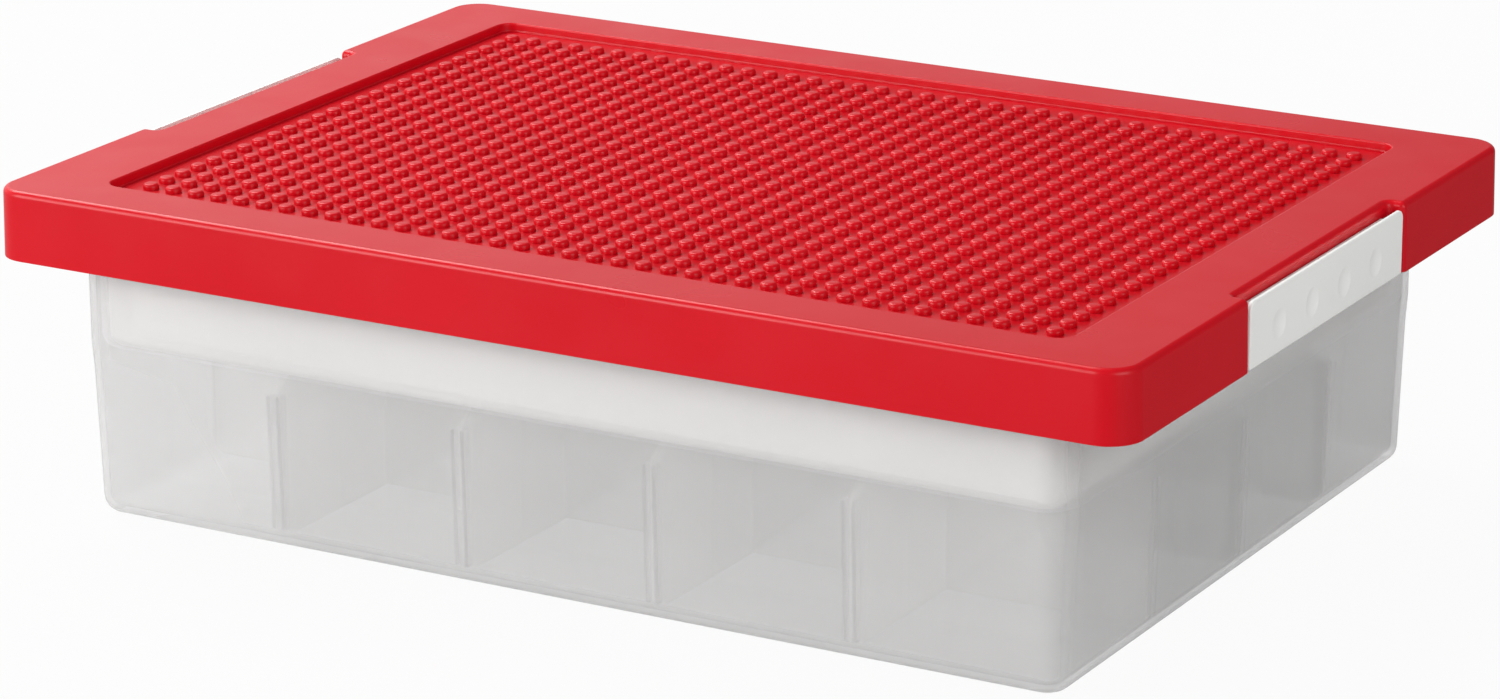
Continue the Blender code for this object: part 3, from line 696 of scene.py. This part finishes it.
def moulded_plastic(name, colours, roughness, specular=0.5, alpha=1.0, transmission=0.0):
    """Moulded plastic with faint flow marks in its colour and an uneven sheen."""
    material, tree, shader = new_material(name)
    first, second = colours
    blend = add_node(tree, "ShaderNodeMix", {
        "Factor": soft_noise(tree, FLOW_SCALE, FLOW_DETAIL, 0, 1),
        "A": (*first, 1), "B": (*second, 1)}, data_type="RGBA")
    tree.links.new(blend.outputs["Result"], shader.inputs["Base Color"])
    tree.links.new(soft_noise(tree, SHEEN_SCALE, SHEEN_DETAIL, *roughness), shader.inputs["Roughness"])
    shader.inputs["IOR"].default_value = PLASTIC_IOR
    shader.inputs["Specular IOR Level"].default_value = specular
    shader.inputs["Alpha"].default_value = alpha
    shader.inputs["Transmission Weight"].default_value = transmission
    return material


def build_box():
    """All pieces of the box with their finishes."""
    red = moulded_plastic("gloss_red", RED, RED_ROUGHNESS, specular=RED_SPECULAR)
    white = moulded_plastic("satin_white", WHITE, WHITE_ROUGHNESS)
    frosted = moulded_plastic("frosted_clear", FROST, FROST_ROUGHNESS, alpha=TUB_ALPHA,
                              transmission=TUB_TRANSMISSION)
    divider = moulded_plastic("frosted_divider", FROST, FROST_ROUGHNESS, alpha=DIVIDER_ALPHA)
    milky = moulded_plastic("milky_white", MILK, MILK_ROUGHNESS, alpha=MILK_ALPHA)
    build_tub(frosted)
    build_tray(milky)
    for number in range(1, COLUMNS):
        build_divider(f"cross_plate_{number}", f"cross_divider_{number}", divider, True)
    for number in range(1, ROWS):
        build_divider(f"long_plate_{number}", f"long_divider_{number}", divider, False)
    build_lid(red)
    build_latch("white_latch_left", "latch_left", -1, white)
    build_latch("white_latch_right", "latch_right", 1, white)


def build_camera():
    """The photograph's view."""
    data = bpy.data.cameras.new("camera")
    data.lens = CAMERA_LENS
    data.sensor_width = SENSOR_WIDTH
    camera = bpy.data.objects.new("camera", data)
    camera.location = CAMERA_PLACE
    camera.rotation_euler = CAMERA_TURN
    bpy.context.scene.collection.objects.link(camera)
    bpy.context.scene.camera = camera


def build_floor():
    """A pale floor that looks white where nothing shades it, and dimmer to the right in a mirror.

    Its own underside is clear, so that the box can be seen from below.
    """
    mesh = bmesh.new()
    level = Matrix.Translation((0, 0, -FLOOR_GAP))
    bmesh.ops.create_grid(mesh, x_segments=1, y_segments=1, size=FLOOR_SIZE / 2, matrix=level)
    floor = new_object("floor", mesh)
    material, tree, matt = new_material("pale_floor")
    matt.inputs["Base Color"].default_value = (*FLOOR_COLOUR, 1)
    matt.inputs["Roughness"].default_value = FLOOR_ROUGHNESS
    matt.inputs["Specular IOR Level"].default_value = 0
    rays = add_node(tree, "ShaderNodeLightPath").outputs
    place = add_node(tree, "ShaderNodeTexCoord").outputs["Object"]
    across = add_node(tree, "ShaderNodeSeparateXYZ", {"Vector": place}).outputs["X"]
    mirrored = add_node(tree, "ShaderNodeMapRange", {
        "Value": across, "From Min": FLOOR_BRIGHT_X, "From Max": FLOOR_DIM_X,
        "To Min": FLOOR_BRIGHT_LIGHT, "To Max": FLOOR_DIM_LIGHT}).outputs["Result"]
    strength = add_node(tree, "ShaderNodeMix", {
        "Factor": rays["Is Glossy Ray"], "A": 1, "B": mirrored}).outputs["Result"]
    glow = add_node(tree, "ShaderNodeEmission", {"Color": (1, 1, 1, 1), "Strength": strength})
    seen = rays["Is Camera Ray"]
    for ray in ("Is Transmission Ray", "Is Glossy Ray"):
        seen = add_node(tree, "ShaderNodeMath", {0: seen, 1: rays[ray]}, operation="MAXIMUM").outputs[0]
    share = add_node(tree, "ShaderNodeMath", {0: seen, 1: FLOOR_GLOW_SHARE}, operation="MULTIPLY")
    top = add_node(tree, "ShaderNodeMixShader", {
        0: share.outputs[0], 1: matt.outputs[0], 2: glow.outputs[0]})
    below = add_node(tree, "ShaderNodeNewGeometry").outputs["Backfacing"]
    clear = add_node(tree, "ShaderNodeBsdfTransparent")
    whole = add_node(tree, "ShaderNodeMixShader", {
        0: below, 1: top.outputs[0], 2: clear.outputs[0]})
    tree.links.new(whole.outputs[0], tree.nodes["Material Output"].inputs["Surface"])
    floor.data.materials.append(material)


def build_world():
    """White to the camera, and plain soft light on the object.

    Mirrored rays see the white fade to grey rightward and upward, like a backdrop lit from
    the left.
    """
    world = bpy.data.worlds.new("studio")
    bpy.context.scene.world = world
    world.use_nodes = True
    tree = world.node_tree
    background = tree.nodes["Background"]
    background.inputs["Color"].default_value = (1, 1, 1, 1)
    direction = add_node(tree, "ShaderNodeTexCoord").outputs["Generated"]
    along = add_node(tree, "ShaderNodeVectorMath", {0: direction, 1: BACKDROP_FADE},
                     operation="DOT_PRODUCT").outputs["Value"]
    faded = add_node(tree, "ShaderNodeMapRange", {
        "Value": along, "From Min": BACKDROP_BRIGHT_END, "From Max": BACKDROP_DARK_END})
    ramp = add_node(tree, "ShaderNodeValToRGB", {"Fac": faded.outputs["Result"]})
    # A new ramp has two stops
    stops = ramp.color_ramp.elements
    for _ in BACKDROP_STOPS[2:]:
        stops.new(1)
    for stop, (position, level) in zip(stops, BACKDROP_STOPS):
        stop.position = position
        stop.color = (level, level, level, 1)
    rays = add_node(tree, "ShaderNodeLightPath").outputs
    strength = WORLD_LIGHT
    for ray, light in (("Is Glossy Ray", ramp.outputs["Color"]), ("Is Transmission Ray", 1),
                       ("Is Camera Ray", 1)):
        strength = add_node(tree, "ShaderNodeMix", {
            "Factor": rays[ray], "A": strength, "B": light}).outputs["Result"]
    tree.links.new(strength, background.inputs["Strength"])


def add_lamp(name, place, target, power):
    """A square soft lamp aimed at a point."""
    data = bpy.data.lights.new(name, "AREA")
    data.size = LAMP_SIZE
    data.energy = power
    lamp = bpy.data.objects.new(name, data)
    lamp.location = place
    lamp.rotation_euler = (Vector(target) - Vector(place)).to_track_quat("-Z", "Y").to_euler()
    bpy.context.scene.collection.objects.link(lamp)


def build_studio():
    """Floor, world and lamps."""
    build_floor()
    build_world()
    middle = (0, 0, BOX_HEIGHT / 2)
    add_lamp("key", KEY_PLACE, middle, KEY_POWER)
    add_lamp("fill", FILL_PLACE, middle, FILL_POWER)
    add_lamp("top", TOP_PLACE, middle, TOP_POWER)


bpy.context.scene.view_settings.view_transform = "Standard"
build_camera()
build_box()
build_studio()
